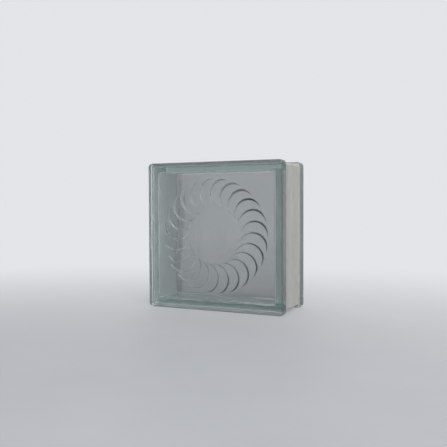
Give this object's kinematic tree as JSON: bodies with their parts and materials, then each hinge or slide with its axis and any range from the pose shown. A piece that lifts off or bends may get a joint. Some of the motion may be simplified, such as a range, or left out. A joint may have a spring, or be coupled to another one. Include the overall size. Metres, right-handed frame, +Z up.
{
  "type": "glass block",
  "caption": "Hollow square glass block for masonry walls, with a coated mortar channel round its edges and a pressed ring of overlapping discs behind the front face.",
  "frame": {"origin": "middle of the footprint, on the floor the block stands on", "axes": "+Z up, X along the width, Y along the depth, with the face that has the ring of discs towards -Y"},
  "size_m": [0.19, 0.08, 0.19],
  "materials": {
    "glass": "clear pressed glass with a faint green cast",
    "coating": "matte opaque coat"
  },
  "bodies": {
    "root": {"glass_body": "glass", "edge_coating": "coating"}
  },
  "joints": []
}
